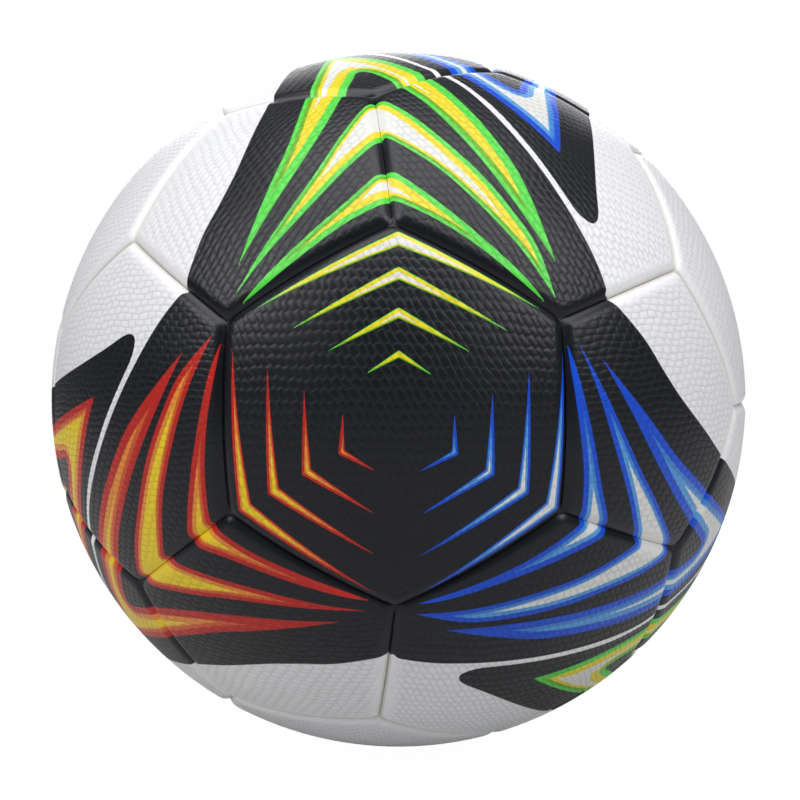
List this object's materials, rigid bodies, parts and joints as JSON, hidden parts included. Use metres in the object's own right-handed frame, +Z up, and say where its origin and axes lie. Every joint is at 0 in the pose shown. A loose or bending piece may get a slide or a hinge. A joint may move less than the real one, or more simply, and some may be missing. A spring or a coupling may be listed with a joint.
{
  "type": "soccer ball",
  "caption": "Round pumped-up ball of heat-bonded hexagon and pentagon panels over foam, a woven carcass and a rubber bladder with a needle valve.",
  "frame": {"origin": "centre of the ball", "axes": "+Z up through a corner of the front hexagon, front black hexagon facing -Y, valve facing +Y"},
  "size_m": [0.22, 0.2199, 0.22],
  "materials": {
    "cover_black": "semi-gloss synthetic leather with an embossed weave",
    "cover_white": "semi-gloss synthetic leather with an embossed weave",
    "cover_printed": "semi-gloss synthetic leather with an embossed weave, printed in black and bright stripes",
    "foam": "closed-cell foam",
    "carcass_cloth": "woven cloth set in latex",
    "bladder_rubber": "butyl rubber",
    "valve_rubber": "moulded rubber",
    "core_rubber": "moulded rubber"
  },
  "bodies": {
    "root": {"hex_panel_01": "cover_black", "hex_panel_02": "cover_white", "hex_panel_03": "cover_white", "hex_panel_04": "cover_black", "hex_panel_05": "cover_white", "hex_panel_06": "cover_black", "hex_panel_07": "cover_black", "hex_panel_08": "cover_printed", "hex_panel_09": "cover_printed", "hex_panel_10": "cover_printed", "hex_panel_11": "cover_printed", "hex_panel_12": "cover_printed", "hex_panel_13": "cover_printed", "hex_panel_14": "cover_printed", "hex_panel_15": "cover_printed", "hex_panel_16": "cover_printed", "hex_panel_17": "cover_printed", "hex_panel_18": "cover_printed", "hex_panel_19": "cover_printed", "valve_panel": "cover_white", "pent_panel_01": "cover_printed", "pent_panel_02": "cover_printed", "pent_panel_03": "cover_printed", "pent_panel_04": "cover_printed", "pent_panel_05": "cover_printed", "pent_panel_06": "cover_printed", "pent_panel_07": "cover_printed", "pent_panel_08": "cover_printed", "pent_panel_09": "cover_printed", "pent_panel_10": "cover_printed", "pent_panel_11": "cover_printed", "pent_panel_12": "cover_printed", "hex_foam_pads": "foam", "pent_foam_pads": "foam", "carcass": "carcass_cloth", "bladder": "bladder_rubber", "valve_housing": "valve_rubber", "valve_core": "core_rubber"}
  },
  "joints": []
}
